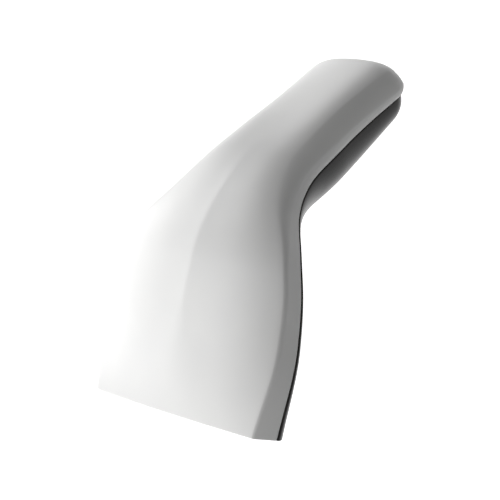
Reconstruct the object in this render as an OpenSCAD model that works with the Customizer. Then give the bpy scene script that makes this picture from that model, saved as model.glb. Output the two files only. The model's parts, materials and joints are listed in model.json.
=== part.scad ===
// Handheld contact barcode scanner: flared head, bent neck and round grip, in two casing halves.
// Every piece is drawn along the casing's centre line: X is width, Y runs from the mouth toward
// the grip, Z points away from the top face. stand() then tilts the whole scanner to lie on a table.

/* [Centre line] */
// Length of the straight head
head_length = 45.5; // [44:0.5:47]
// Radius of the bend between head and grip, along the parting line
bend_radius = 41.5; // [40:0.5:43]
// Angle between head and grip
bend_angle = 51; // [50:0.5:52]
// Length of the straight grip
grip_length = 51.5; // [50:0.5:55]
// Length of the rounded end of the grip
cap_length = 10.5; // [9:0.5:12]

/* [Casing sections] */
// Each list runs from the mouth to the grip's end: mouth, flare, head's end, bend, grip, end.
// Half width of the top face, out to its side crease
crease_half = [35.2, 38.6, 32.4, 25.3, 18.7, 19.2]; // [10:0.1:42]
// Height of the side crease over the parting line
crease_rise = [8.4, 7.1, 6.2, 5.7, 5.8, 6.2]; // [3:0.1:12]
// Height of the centre ridge over the parting line
ridge_rise = [10.6, 11.3, 10, 9, 10, 12]; // [6:0.1:18]
// Half width at the parting line
edge_half = [37.1, 39, 32.7, 26.9, 19.3, 16.3]; // [12:0.1:44]
// Depth of the belly under the parting line
belly_depth = [12.8, 11.8, 11.6, 14, 15, 9.4]; // [8:0.1:18]
// Angle at which the top face leaves the ridge
ridge_lean = [4, 3, 3, 3, 1, 3]; // [-5:1:20]
// Angle at which the top face meets the crease
crease_lean = [6, 14, 16, 20, 44, 50]; // [-20:1:85]
// Upright part of the belly's side at the mouth and at the head's end
side_drop = [4.5, 1.1]; // [1:0.5:8]
// Half width of the flat strip along the keel, at the mouth and from the head's end on
keel_flat = [13, 1.5]; // [1:0.5:14]

/* [Walls] */
// Thickness of the casing walls
wall = 2; // [1.8:0.1:2.2]
// Gap along the parting line
parting_gap = 0.15; // [0.1:0.05:0.3]
// Free gap round an inner piece
clearance = 0.3; // [0.2:0.05:0.4]

/* [Window] */
// Width and height of the clear window
window_size = [66.8, 10.6]; // [9:0.1:67]
// Thickness of the window
window_thick = 1.5; // [1:0.1:1.8]
// Height of the window's middle over the parting line
window_rise = 0.5; // [0.3:0.1:0.6]

/* [Light path] */
// Half width of the scanned line at the mouth
scan_half = 32.5; // [31:0.5:32.5]
// Distance from the mouth to the lens, measured along the folded path
object_distance = 63; // [62:0.5:64]
// Distance from the lens to the line sensor
image_distance = 12.6; // [12:0.1:13]
// Distance from the mouth to the fold mirrors
fold_y = 46; // [45.5:0.5:46.5]
// Height of the incoming path over the parting line
path_low = -2.2; // [-2.3:0.1:-2.1]
// Height of the lens axis over the parting line
path_high = 3.1; // [3.05:0.05:3.15]

/* [Trigger] */
// Station of the trigger's front edge
trigger_front = 78; // [77:0.5:79]
// Station of the trigger's rear edge
trigger_rear = 102; // [101.5:0.5:102.5]
// Half width of the trigger
trigger_half = 6.6; // [6:0.1:6.8]
// How far the trigger stands out of the belly
trigger_proud = 1.2; // [0.8:0.1:1.4]
// Distance from the hinge pin to the switch
switch_reach = 6; // [5.8:0.1:6.2]

/* [Main board] */
// Half width of the main board
board_half = 10.5; // [10:0.1:10.5]
// Height of the main board's top face over the parting line
board_top = -4; // [-4.1:0.1:-3.9]
// Thickness of the circuit boards
board_thick = 1.6; // [1.4:0.1:1.6]

/* [Hidden] */
$fn = 48;

// --- centre line ---
arc_length = bend_radius * bend_angle * PI / 180;
grip_start = head_length + arc_length;
full_length = grip_start + grip_length;
stations = [0, 27, 54, head_length + arc_length / 2, grip_start + 13.5, full_length];

function turn_at(s) = max(0, min(bend_angle, (s - head_length) / bend_radius * 180 / PI));
function past_bend(s) = max(0, s - grip_start);
function centre(s) =
    [min(s, head_length) + bend_radius * sin(turn_at(s)) + past_bend(s) * cos(bend_angle),
     -bend_radius * (1 - cos(turn_at(s))) - past_bend(s) * sin(bend_angle)];
// A section's point [x, z] at station s, in the head's frame
function on_section(s, p) =
    [p.x, centre(s).x + p.y * sin(turn_at(s)), centre(s).y + p.y * cos(turn_at(s))];

// --- smooth values between the stations ---
function span_of(s, i = 0) = i >= len(stations) - 2 || s < stations[i + 1] ? i : span_of(s, i + 1);
function span_length(i) = stations[i + 1] - stations[i];
function chord(v, i) = (v[i + 1] - v[i]) / span_length(i);
function slope(v, i) =
    i == 0 ? chord(v, 0)
    : i == len(v) - 1 ? chord(v, i - 1)
    : (chord(v, i - 1) * span_length(i) + chord(v, i) * span_length(i - 1))
      / (span_length(i - 1) + span_length(i));
function value_at(v, s) =
    let (i = span_of(s), h = span_length(i), t = (s - stations[i]) / h)
    (2 * t^3 - 3 * t^2 + 1) * v[i] + (t^3 - 2 * t^2 + t) * h * slope(v, i)
    + (3 * t^2 - 2 * t^3) * v[i + 1] + (t^3 - t^2) * h * slope(v, i + 1);

// --- casing sections ---
cap_power = 2.2;
function ease(t) = t * t * (3 - 2 * t);
// 0 on the head, where the crease is sharp, to 1 on the grip, where it is round
function softness(s) =
    ease(max(0, min(1, (s - stations[2]) / (stations[4] - stations[2]))));
function cap_scale(s, inset) =
    let (u = max(0, s - full_length + cap_length) / (cap_length - inset))
    sqrt(max(0, 1 - u^cap_power));
function heading(angle) = [cos(angle), -sin(angle)];
function bezier(a, b, c, d, t) =
    (1 - t)^3 * a + 3 * (1 - t)^2 * t * b + 3 * (1 - t) * t^2 * c + t^3 * d;

top_steps = 7;
side_steps = 3;
belly_steps = 8;
// Right half of the top casing's section, from the ridge to the parting line
function top_half(s, inset) =
    let (ridge = [0, value_at(ridge_rise, s) - inset],
         crease = [value_at(crease_half, s) - inset, value_at(crease_rise, s) - 0.8 * inset],
         edge = [value_at(edge_half, s) - inset, 0],
         across = 0.38 * norm(crease - ridge),
         down = 0.36 * norm(edge - crease),
         meet = value_at(crease_lean, s),
         side = atan2(crease.y - edge.y, edge.x - crease.x),
         lead = side + (meet - side) * softness(s),
         over = ridge + across * heading(value_at(ridge_lean, s)))
    cap_scale(s, inset) * concat(
        [for (i = [0:top_steps - 1])
            bezier(ridge, over, crease - across * heading(meet), crease, i / top_steps)],
        [for (i = [0:side_steps])
            bezier(crease, crease + down * heading(lead),
                   edge - down * heading(2 * side - lead), edge, i / side_steps)]);
// A value that goes from its first to its second entry along the head
function along_head(pair, s) = pair[0] + (pair[1] - pair[0]) * min(1, s / stations[2]);
// Curved part of the bottom casing's section, from the parting line to the keel's flat strip
function belly_point(s, inset, t) =
    let (depth = value_at(belly_depth, s) - inset,
         edge = value_at(edge_half, s) - inset,
         flat = along_head(keel_flat, s),
         drop = along_head(side_drop, s) * (1 - softness(s)) + 0.6 * depth * softness(s))
    cap_scale(s, inset)
    * bezier([edge, 0], [edge, -drop], [0.62 * edge, -depth], [flat, -depth], t);
// Right half of the bottom casing's section, from the middle of the keel to the parting line
function belly_half(s, inset) =
    concat([[0, belly_point(s, inset, 1).y - parting_gap]],
           [for (i = [belly_steps:-1:0]) belly_point(s, inset, i / belly_steps) - [0, parting_gap]]);
// Height of the belly's outside at distance x from the middle
function belly_at(s, x, low = 0, high = 1, n = 12) =
    let (mid = (low + high) / 2, p = belly_point(s, 0, mid))
    n == 0 ? p.y - parting_gap
    : p.x > x ? belly_at(s, x, mid, high, n - 1)
    : belly_at(s, x, low, mid, n - 1);

function reverse(list) = [for (i = [len(list) - 1:-1:0]) list[i]];
function both_sides(half) =
    concat([for (i = [len(half) - 1:-1:1]) [-half[i].x, half[i].y]], half);
function ring(s, section) = [for (p = section) on_section(s, p)];

// Stations of the drawn rings: even along the body, closer together round the cap
ring_gap = 5;
body_rings = ceil((full_length - cap_length) / ring_gap);
cap_rings = 9;
function ring_stations(inset) =
    concat([for (i = [0:body_rings - 1]) i * (full_length - cap_length) / body_rings],
           [for (i = [0:cap_rings])
               full_length - cap_length + (cap_length - inset) * sin(88.5 * i / cap_rings)]);
function top_rings(inset) =
    [for (s = ring_stations(inset)) ring(s, both_sides(top_half(s, inset)))];
function belly_rings(inset) =
    [for (s = ring_stations(inset)) reverse(ring(s, both_sides(belly_half(s, inset))))];

// --- how it lies on a table ---
function height_of(s, z, pitch) =
    let (p = on_section(s, [0, z])) p.y * sin(pitch) + p.z * cos(pitch);
function grip_low(pitch) =
    min([for (s = [grip_start:1:full_length])
        height_of(s, -value_at(belly_depth, s) * cap_scale(s, 0) - parting_gap, pitch)]);
function mouth_low(pitch) = height_of(0, -belly_depth[0] - parting_gap, pitch);
// The tilt at which the mouth's lower edge and the grip's end touch the table together
function settle(low = 10, high = 50, n = 24) =
    let (mid = (low + high) / 2)
    n == 0 ? mid
    : mouth_low(mid) < grip_low(mid) ? settle(low, mid, n - 1)
    : settle(mid, high, n - 1);
pitch = settle();
reach = [for (s = ring_stations(0), side = [top_half(s, 0)[0].y, belly_half(s, 0)[0].y])
    let (p = on_section(s, [0, side])) p.y * cos(pitch) - p.z * sin(pitch)];
middle_y = (min(reach) + max(reach)) / 2;

module stand() translate([0, -middle_y, -mouth_low(pitch)]) rotate([pitch, 0, 0]) children();
// Puts children in the frame of station s
module at_station(s) stand() translate([0, centre(s).x, centre(s).y]) rotate([-turn_at(s), 0, 0])
    children();
module in_grip() at_station(grip_start) children();

// --- shared shapes ---
// A solid skinned over rings; each ring is a closed loop, and the first and last are flat
module skin(rings) {
    n = len(rings[0]);
    last = (len(rings) - 1) * n;
    polyhedron(
        [for (r = rings) each r],
        concat(
            [for (i = [0:len(rings) - 2], j = [0:n - 1]) each
                let (a = i * n + j, b = i * n + (j + 1) % n) [[a, b + n, b], [a, a + n, b + n]]],
            [for (j = [1:n - 2]) [0, j, j + 1]],
            [for (j = [1:n - 2]) [last, last + j + 1, last + j]]));
}
// A casing wall between outer and inner rings, open at the mouth and closed round the cap
module casing(outer, inner) {
    m = len(outer[0]);
    n = 2 * m;
    last = (len(outer) - 1) * n;
    polyhedron(
        [for (i = [0:len(outer) - 1]) each concat(outer[i], reverse(inner[i]))],
        concat(
            [for (i = [0:len(outer) - 2], j = [0:n - 1]) each
                let (a = i * n + j, b = i * n + (j + 1) % n) [[a, b + n, b], [a, a + n, b + n]]],
            [for (j = [0:m - 2]) each
                let (k = n - 1 - j) [[j, j + 1, k - 1], [j, k - 1, k]]],
            [for (j = [1:m - 2]) [last, last + j + 1, last + j]],
            [for (j = [1:m - 2]) [last + m, last + m + j + 1, last + m + j]],
            [[last, last + m, last + m - 1], [last, last + n - 1, last + m]]));
}
// A plate with round corners, on the XZ plane and y thick
module round_plate(size, radius, y) {
    rotate([90, 0, 0]) translate([0, 0, -y]) {
        cube_centred([size.x - 2 * radius, size.y, y]);
        cube_centred([size.x, size.y - 2 * radius, y]);
        for (x = [-1, 1], z = [-1, 1])
            translate([x * (size.x / 2 - radius), z * (size.y / 2 - radius), 0])
                cylinder(r = radius, h = y);
    }
}
// A block centred on X and Y, standing on Z = 0
module cube_centred(size) translate([-size.x / 2, -size.y / 2, 0]) cube(size);
// A pan head screw with a cross recess, its head's seat at Z = 0 and its shank pointing up
module screw(shank_r, length, head_r, head_h) {
    difference() {
        union() {
            translate([0, 0, -head_h]) cylinder(r = head_r, h = head_h);
            cylinder(r = shank_r, h = length);
        }
        for (a = [0, 90]) rotate([0, 0, a]) translate([0, 0, -head_h - 0.1])
            cube_centred([1.3 * head_r, 0.3 * head_r, 0.6 * head_h + 0.1]);
    }
}

// --- fasteners: places are [x, station] ---
head_screw = [24, 33];
grip_screw = [0, 107];
screw_r = 1.2;
screw_length = 8;
screw_head = [2.4, 1.8];
small_screw_r = 0.8;
small_screw_length = 4;
small_screw_head = [1.5, 0.9];
pilot_gap = 0.02;
top_boss_r = 2.9;
bottom_boss_r = 3.4;
boss_floor = 2.6;
boss_joint = -1;
board_under = board_top - board_thick;
grip_boss_joint = board_under - 0.6;
chassis_post = [15, 41.5];
chassis_floor = path_low - 2.3;
board_post = [7.5, 108];
post_r = 2.2;
post_gap = 0.05;

// A boss or post that stands on the belly, cut off inside the wall by bottom_posts()
module post(place, radius, top) at_station(place.y) translate([place.x, 0, -20])
    cylinder(r = radius, h = top + 20);
module top_boss(place, low) at_station(place.y) translate([place.x, 0, low])
    cylinder(r = top_boss_r, h = 20);
module pilot(place, low, radius, length) at_station(place.y) translate([place.x, 0, low])
    cylinder(r = radius + pilot_gap, h = length);
// The well that a casing screw's head sinks into, and its clearance hole
module screw_well(place, seat) at_station(place.y) translate([place.x, 0, -20]) {
    cylinder(r = screw_head[0] + clearance, h = seat + 20);
    cylinder(r = screw_r + clearance, h = 30);
}

module top_shell() color("whitesmoke") difference() {
    union() {
        stand() casing(top_rings(0), top_rings(wall));
        intersection() {
            union() {
                for (x = [-1, 1]) top_boss([x * head_screw.x, head_screw.y], boss_joint);
                top_boss(grip_screw, grip_boss_joint);
            }
            stand() skin(top_rings(wall / 3));
        }
    }
    for (x = [-1, 1]) pilot([x * head_screw.x, head_screw.y], boss_joint - 1, screw_r, 7);
    pilot(grip_screw, grip_boss_joint - 1, screw_r, 9);
    socket_hole();
}

// --- cable socket, standing on the end of the main board ---
socket_size = [14, 16, 10.8];
socket_front = full_length - 7;
socket_mid = board_top + socket_size.z / 2;
port_size = [11.8, 7];
port_depth = 12;
collar_size = [14, 10];
collar_length = 3.4;
corner_r = 1.2;

module socket_hole() in_grip() translate([0, socket_front - grip_start + clearance, socket_mid])
    round_plate(collar_size + [2, 2] * clearance, corner_r + clearance, 20);
module cable_socket() color("#202020") in_grip()
    translate([0, socket_front - grip_start, socket_mid]) difference() {
        translate([0, -socket_size.y / 2, -socket_size.z / 2]) cube_centred(socket_size);
        translate([0, -port_depth / 2 + 0.1, -port_size.y / 2])
            cube_centred([port_size.x, port_depth + 0.2, port_size.y]);
        // Notch for the plug's latch
        translate([0, -port_depth / 2 + 0.1, -socket_size.z / 2 + 0.6])
            cube_centred([4, port_depth + 0.2, 2]);
    }
module socket_contacts() color("gold") in_grip()
    for (i = [0:9])
        translate([(i - 4.5) * 1.02, socket_front - grip_start - port_depth,
                   socket_mid + port_size.y / 2 - 0.05])
            rotate([-20, 0, 0]) translate([0, 4, -0.9]) cube_centred([0.45, 7.4, 0.4]);
module socket_collar() color("#202020") in_grip()
    translate([0, socket_front - grip_start + 0.1, socket_mid]) difference() {
        round_plate(collar_size, corner_r, collar_length);
        translate([0, -1, 0]) round_plate(port_size + [0.4, 0.8], 0.6, collar_length + 2);
    }

// --- trigger, on its pin in two ears of the bottom shell ---
pin_station = 100;
pin_y = pin_station - grip_start;
pin_rise = -12;
pin_r = 1;
pin_half = 9.4;
pin_fit = 0.05;
ear_gap = 0.8;
ear_thick = 2.2;
ear_top = pin_rise + 2.5;
barrel_r = 2.2;
barrel_half = trigger_half - 0.3;
slot_gap = 0.6;
trigger_thick = 1.2;
stop_rise = wall - trigger_thick + 0.2;
tab_thick = 1.2;
switch_station = pin_station - switch_reach;
function key_face(s) = -value_at(belly_depth, s) + trigger_thick;

module bottom_shell() color("#2b2a2a") difference() {
    union() {
        stand() casing(belly_rings(0), belly_rings(wall));
        bottom_posts();
    }
    for (x = [-1, 1]) {
        screw_well([x * head_screw.x, head_screw.y], boss_joint - boss_floor);
        pilot([x * chassis_post.x, chassis_post.y], chassis_floor - 3.5, small_screw_r, 10);
        pilot([x * board_post.x, board_post.y], board_under - 3.5, small_screw_r, 10);
    }
    screw_well(grip_screw, grip_boss_joint - boss_floor);
    in_grip() translate([0, (trigger_front + trigger_rear) / 2 - grip_start, -24])
        cube_centred([2 * (trigger_half + slot_gap), trigger_rear - trigger_front + 2 * slot_gap,
                      24 + ear_top]);
    in_grip() translate([-pin_half - clearance, pin_y, pin_rise]) rotate([0, 90, 0])
        cylinder(r = pin_r + pilot_gap, h = 2 * (pin_half + clearance));
    socket_hole();
}
module bottom_posts() intersection() {
    union() {
        for (x = [-1, 1]) {
            post([x * head_screw.x, head_screw.y], bottom_boss_r, boss_joint - post_gap);
            post([x * chassis_post.x, chassis_post.y], post_r, chassis_floor - post_gap);
            post([x * board_post.x, board_post.y], post_r, board_under - post_gap);
            in_grip() translate([x * (trigger_half + ear_gap + ear_thick / 2), pin_y, -20])
                cube_centred([ear_thick, 5, ear_top + 20]);
        }
        post(grip_screw, bottom_boss_r, grip_boss_joint - post_gap);
    }
    stand() skin(belly_rings(wall / 3));
}
module trigger() color("#2b2a2a") {
    steps = 12;
    across = 4;
    difference() {
        union() {
            stand() skin([for (i = [0:steps])
                let (s = trigger_front + (trigger_rear - trigger_front) * i / steps,
                     low = [for (j = [across:-1:-across])
                         let (x = j * trigger_half / across)
                         [x, belly_at(s, abs(x)) - trigger_proud]])
                ring(s, concat(low, [[-trigger_half, key_face(s)], [trigger_half, key_face(s)]]))]);
            in_grip() translate([-barrel_half, pin_y, pin_rise]) rotate([0, 90, 0])
                cylinder(r = barrel_r, h = 2 * barrel_half);
            // Stop that hooks over the inside of the belly in front of the opening
            at_station(trigger_front) translate([0, 1.5, key_face(trigger_front) - 0.4])
                cube_centred([9, 2, stop_rise + 0.8]);
            at_station(trigger_front) translate([0, 0, key_face(trigger_front) + stop_rise])
                cube_centred([9, 4, tab_thick]);
        }
        in_grip() translate([-pin_half, pin_y, pin_rise]) rotate([0, 90, 0])
            cylinder(r = pin_r + pin_fit, h = 2 * pin_half);
    }
}
module trigger_pin() color("silver") in_grip() translate([-pin_half, pin_y, pin_rise])
    rotate([0, 90, 0]) cylinder(r = pin_r, h = 2 * pin_half);

// --- trigger switch, under the main board ---
switch_body_height = 3.5;
plunger_r = 1.5;
plunger_fit = 0.08;
plunger_inside = 1.2;
plunger_travel = 0.5;

module switch_body() color("#303030") at_station(switch_station)
    translate([0, 0, board_under - switch_body_height - 0.02]) difference() {
        cube_centred([6, 6, switch_body_height]);
        translate([0, 0, -1]) cylinder(r = plunger_r + plunger_fit,
                                       h = 1 + plunger_inside + plunger_travel + 0.2);
    }
module switch_plunger() color("ivory") at_station(switch_station) {
    low = key_face(switch_station) + 0.1;
    translate([0, 0, low])
        cylinder(r = plunger_r, h = board_under - switch_body_height + plunger_inside - low);
}

// --- return spring, between the trigger and the main board ---
spring_station = 87;
spring_r = 1.7;
spring_wire = 0.22;
spring_turns = 6;
module return_spring() color("silver") {
    low = key_face(spring_station) + spring_wire + 0.1;
    high = board_under - spring_wire - 0.05;
    steps = spring_turns * 14;
    at_station(spring_station) skin([for (i = [0:steps])
        let (a = 360 * spring_turns * i / steps, r = [cos(a), sin(a), 0])
        [for (j = [5:-1:0])
            r * (spring_r + spring_wire * cos(60 * j))
            + [0, 0, low + (high - low) * i / steps + spring_wire * sin(60 * j)]]]);
}

// --- mouth: window and its frame ---
nose_length = 4.8;
window_seat = 2;
window_r = 3.8;
nose_lip = 1.1;
module nose_frame() color("#1c1c1c") stand() {
    inset = wall + 0.5;
    outline = concat(both_sides(top_half(0, inset)),
                     reverse(both_sides(belly_half(0, inset))));
    difference() {
        rotate([90, 0, 0]) translate([0, 0, -nose_length]) linear_extrude(nose_length)
            polygon(outline);
        translate([0, -1, window_rise])
            round_plate(window_size - [2, 2] * nose_lip, window_r - nose_lip, nose_length + 2);
        translate([0, window_seat, window_rise])
            round_plate(window_size + [0.2, 0.2], window_r + 0.1, nose_length);
    }
}
module scan_window() color([0.75, 0.8, 0.82, 0.4]) stand()
    translate([0, window_seat + 0.02, window_rise]) round_plate(window_size, window_r, window_thick);

// --- light path: a duct that narrows to two mirrors, which fold it up and back to the lens ---
duct_front = 6.2;
duct_back = 43.4;
duct_wall = 1.2;
duct_half_height = 1.5;
deck = 0.85;
deck_top = path_low + duct_half_height + deck;
cheek_x = 9.9;
cheek_back = 49.5;
cheek_top = 3.6;
mirror_size = [19.4, 5.8, 1];
lens_y = 2 * fold_y + path_high - path_low - object_distance;
sensor_y = lens_y - image_distance;
barrel_size = [2.9, 8];
cradle_top = 2.4;
led_post = [20, 13];
led_under = 4.6;
sensor_post = [13.5, 2.6];
sensor_thick = 2.4;
sensor_board_y = sensor_y - sensor_thick - board_thick;

function duct_half(y) = scan_half * (object_distance - y) / object_distance + 0.5;
module duct_plan(extra) polygon([
    [-duct_half(duct_front) - extra, duct_front], [duct_half(duct_front) + extra, duct_front],
    [duct_half(duct_back) + extra, duct_back], [-duct_half(duct_back) - extra, duct_back]]);
// A wedge or cheek drawn in the YZ plane, centred on x
module profile(x, thick, points) translate([x - thick / 2, 0, 0]) rotate([90, 0, 90])
    linear_extrude(thick) polygon(points);

module optical_chassis() color("#1a1a1a") stand() difference() {
    union() {
        difference() {
            translate([0, 0, chassis_floor]) linear_extrude(deck_top - chassis_floor)
                duct_plan(duct_wall);
            translate([0, 0, path_low - duct_half_height]) linear_extrude(2 * duct_half_height)
                duct_plan(0);
            translate([0, duct_front - 5, path_low - duct_half_height])
                cube_centred([2 * duct_half(duct_front), 12, 2 * duct_half_height]);
            translate([0, duct_back, path_low - duct_half_height])
                cube_centred([2 * cheek_x, 6, 2 * duct_half_height]);
        }
        for (x = [-1, 1]) {
            profile(x * (cheek_x + duct_wall / 2), duct_wall,
                [[41, chassis_floor], [cheek_back + 1, chassis_floor], [cheek_back + 1, cheek_top],
                 [47, 4.8], [43.6, 4.8], [41, deck_top]]);
            translate([x * (chassis_post.x - 1), chassis_post.y, chassis_floor])
                cube_centred([5.4, 5.4, 1.2]);
            translate([x * led_post.x, led_post.y, deck_top - 0.3])
                cylinder(r = post_r, h = led_under - deck_top + 0.3 - post_gap);
            translate([x * sensor_post.x, sensor_board_y - 2, deck_top - 0.3])
                cube_centred([3.4, 3.9, 4.2]);
        }
        profile(0, 2 * cheek_x + 0.2, [
            [fold_y - 0.8, chassis_floor], [cheek_back, chassis_floor], [cheek_back, -0.3]]);
        profile(0, 2 * cheek_x + 0.2, [
            [cheek_back, 1.1], [cheek_back, cheek_top], [47, 4.8], [45.8, 4.8]]);
        translate([0, cheek_back + 0.5, chassis_floor])
            cube_centred([2 * cheek_x + 0.2, 1, cheek_top - chassis_floor]);
        translate([0, lens_y, deck_top - 0.3]) cube_centred([14.8, 6, cradle_top - deck_top + 0.3]);
    }
    translate([0, lens_y - 5, path_high]) rotate([-90, 0, 0])
        cylinder(r = barrel_size[0] + post_gap, h = 10);
    for (x = [-1, 1]) {
        translate([x * chassis_post.x, chassis_post.y, chassis_floor - 1])
            cylinder(r = small_screw_r + clearance, h = 4);
        translate([x * led_post.x, led_post.y, led_under - 3.6])
            cylinder(r = small_screw_r + pilot_gap, h = 5);
        translate([x * sensor_post.x, sensor_board_y - 3.7, sensor_post.y]) rotate([-90, 0, 0])
            cylinder(r = small_screw_r + pilot_gap, h = 5);
        translate([x * clamp_screw_x, lens_y, cradle_top - 2])
            cylinder(r = small_screw_r + pilot_gap, h = 4);
    }
}
module mirror_plate(z, up) stand() translate([0, fold_y, z]) rotate([45 * up, 0, 0])
    translate([0, 0, -up * mirror_size.z / 2]) translate([0, 0, -mirror_size.z / 2])
        cube_centred(mirror_size);
module lower_mirror() color("#c8ccd0") mirror_plate(path_low, 1);
module upper_mirror() color("#c8ccd0") mirror_plate(path_high, -1);
module lens_barrel() color("#111111") stand() translate([0, lens_y, path_high])
    rotate([-90, 0, 0]) difference() {
        translate([0, 0, -barrel_size[1] / 2]) cylinder(r = barrel_size[0], h = barrel_size[1]);
        translate([0, 0, -barrel_size[1]]) cylinder(r = 1.6, h = 2 * barrel_size[1]);
        translate([0, 0, -1.5]) cylinder(r = 2.3, h = barrel_size[1]);
    }
module scan_lens() color([0.7, 0.8, 0.9, 0.5]) stand() translate([0, lens_y, path_high])
    rotate([-90, 0, 0]) rotate_extrude() intersection() {
        translate([0, -1.45]) square([2.28, 3]);
        translate([0, -4.2]) circle(r = 5.4);
        translate([0, 4.2]) circle(r = 5.4);
    }
clamp_screw_x = 5.4;
clamp_thick = 0.4;
module lens_clamp() color("silver") stand() translate([0, lens_y, 0]) difference() {
    union() {
        translate([0, 2, path_high]) rotate([90, 0, 0])
            cylinder(r = barrel_size[0] + 0.03 + clamp_thick, h = 4);
        translate([0, 0, cradle_top + 0.02]) cube_centred([14.8, 4, clamp_thick]);
    }
    translate([0, 3, path_high]) rotate([90, 0, 0]) cylinder(r = barrel_size[0] + 0.03, h = 6);
    translate([0, 0, cradle_top - 9.98]) cube_centred([16, 6, 10]);
    for (x = [-1, 1]) translate([x * clamp_screw_x, 0, 0])
        cylinder(r = small_screw_r + 0.1, h = 10);
}

// --- boards in the head ---
module sensor_board() color("darkgreen") stand() translate([0, sensor_board_y + board_thick / 2, 0])
    difference() {
        union() {
            translate([0, 0, 0.4]) cube_centred([31, board_thick, 5.6]);
            translate([18, 0, 2]) cube_centred([6, board_thick, 2.6]);
        }
        for (x = [-1, 1]) translate([x * sensor_post.x, -2, sensor_post.y]) rotate([-90, 0, 0])
            cylinder(r = small_screw_r + 0.2, h = 4);
    }
module line_sensor() color("#3a3a3a") stand()
    translate([0, sensor_y - sensor_thick / 2, path_high - 2.6]) difference() {
        cube_centred([22, sensor_thick - 0.04, 5.2]);
        translate([0, 1, 1.1]) cube_centred([18.2, 1.2, 3]);
    }
module sensor_glass() color([0.8, 0.9, 0.9, 0.5]) stand()
    translate([0, sensor_y - 0.4, path_high - 1.45]) cube_centred([18, 0.6, 2.9]);
module led_board() color("darkgreen") stand() translate([0, 11, led_under]) difference() {
    cube_centred([54, 8, 1]);
    for (x = [-1, 1]) translate([x * led_post.x, led_post.y - 11, -1])
        cylinder(r = small_screw_r + 0.2, h = 3);
}
module led_row() color([0.85, 0.1, 0.08]) stand() for (i = [-3.5:3.5])
    translate([i * 6.8, 8.2, led_under - 2.42]) {
        cube_centred([3, 1.6, 2.4]);
        translate([0, -0.7, 1.2]) sphere(r = 1);
    }

// --- main board, in the grip ---
board_front = -1;
module main_board() color("darkgreen") in_grip() difference() {
    translate([0, (board_front + socket_front - grip_start - 1) / 2, board_under])
        cube_centred([2 * board_half, socket_front - grip_start - 1 - board_front, board_thick]);
    translate([0, grip_screw.y - grip_start, board_under - 1])
        cylinder(r = top_boss_r + clearance, h = 4);
    for (x = [-1, 1]) translate([x * board_post.x, board_post.y - grip_start, board_under - 1])
        cylinder(r = small_screw_r + 0.2, h = 4);
}
// A component standing on the board at [x, station]
module on_board(x, s) at_station(s) translate([x, 0, board_top + 0.02]) children();
module decoder_chip() color("#181818") on_board(4.8, 92) cube_centred([9, 9, 1.4]);
module board_chips() color("#202020") {
    on_board(3, 100.5) cube_centred([5, 4, 1.2]);
    on_board(8.2, 100.5) cube_centred([3, 4, 1]);
    for (x = [-7.5, 7.5]) on_board(x, 104.6) cube_centred([3, 1.6, 0.8]);
}
module clock_crystal() color("silver") on_board(-4.6, 99.5) {
    cube_centred([6, 3.4, 3]);
    for (x = [-1, 1]) translate([3 * x, 0, 0]) cylinder(r = 1.7, h = 3);
}
module buzzer() color("#151515") on_board(-5, 91.5) difference() {
    cylinder(r = 5, h = 4.6);
    translate([0, 0, 3.2]) cylinder(r = 0.9, h = 2);
}

// --- flat leads, each [x, station, z] along its middle, inside the roof ---
flex_size = [5, 0.3];
sensor_route = [[18, 20.1, 3.4], [18, 27, 3.6], [18, 36, 3.2], [18, 45, 2.6], [16, 54, 1.4],
                [12, 63, 0], [8.5, 71, -1.6], [6.6, 78, -2.8], [6.2, 82, -3.6], [6, 86, -3.8]];
led_route = [[-18, 15.1, 5.1], [-18, 24, 4.4], [-18, 34, 3.4], [-18, 45, 2.6], [-16, 54, 1.4],
             [-12, 63, 0], [-8.5, 71, -1.6], [-6.6, 78, -2.8], [-6.2, 82, -3.6], [-6, 86, -3.8]];
module flex(route) color("#d8a860") stand() skin([for (p = route)
    ring(p.y, [for (c = [[-1, -1], [-1, 1], [1, 1], [1, -1]])
        [p.x + c.x * flex_size.x / 2, p.z + c.y * flex_size.y / 2]])]);
module sensor_flex() flex(sensor_route);
module led_flex() flex(led_route);

// --- screws ---
module screw_up(place, seat) at_station(place.y) translate([place.x, 0, seat])
    screw(screw_r, screw_length, screw_head[0], screw_head[1]);
// A small screw whose head rests on z and whose shank points down
module screw_down(z, length = small_screw_length) translate([0, 0, z]) rotate([180, 0, 0])
    screw(small_screw_r, length, small_screw_head[0], small_screw_head[1]);
module casing_screws() color("#555555") {
    for (x = [-1, 1]) screw_up([x * head_screw.x, head_screw.y], boss_joint - boss_floor);
    screw_up(grip_screw, grip_boss_joint - boss_floor);
}
module chassis_screws() color("silver") stand() for (x = [-1, 1]) {
    translate([x * chassis_post.x, chassis_post.y, 0]) screw_down(chassis_floor + 1.22);
    translate([x * clamp_screw_x, lens_y, 0]) screw_down(cradle_top + clamp_thick + 0.04, 2.2);
}
module board_screws() color("silver") for (x = [-1, 1]) {
    at_station(board_post.y) translate([x * board_post.x, 0, 0]) screw_down(board_top + 0.02);
    stand() translate([x * led_post.x, led_post.y, 0]) screw_down(led_under + 1.02, 3.6);
    stand() translate([x * sensor_post.x, sensor_board_y + board_thick + 0.02, sensor_post.y])
        rotate([-90, 0, 0]) screw_down(0);
}

top_shell();
bottom_shell();
nose_frame();
scan_window();
optical_chassis();
lower_mirror();
upper_mirror();
lens_barrel();
scan_lens();
lens_clamp();
sensor_board();
line_sensor();
sensor_glass();
led_board();
led_row();
main_board();
decoder_chip();
board_chips();
clock_crystal();
buzzer();
cable_socket();
socket_contacts();
socket_collar();
trigger();
trigger_pin();
return_spring();
switch_body();
switch_plunger();
sensor_flex();
led_flex();
casing_screws();
chassis_screws();
board_screws();
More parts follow.
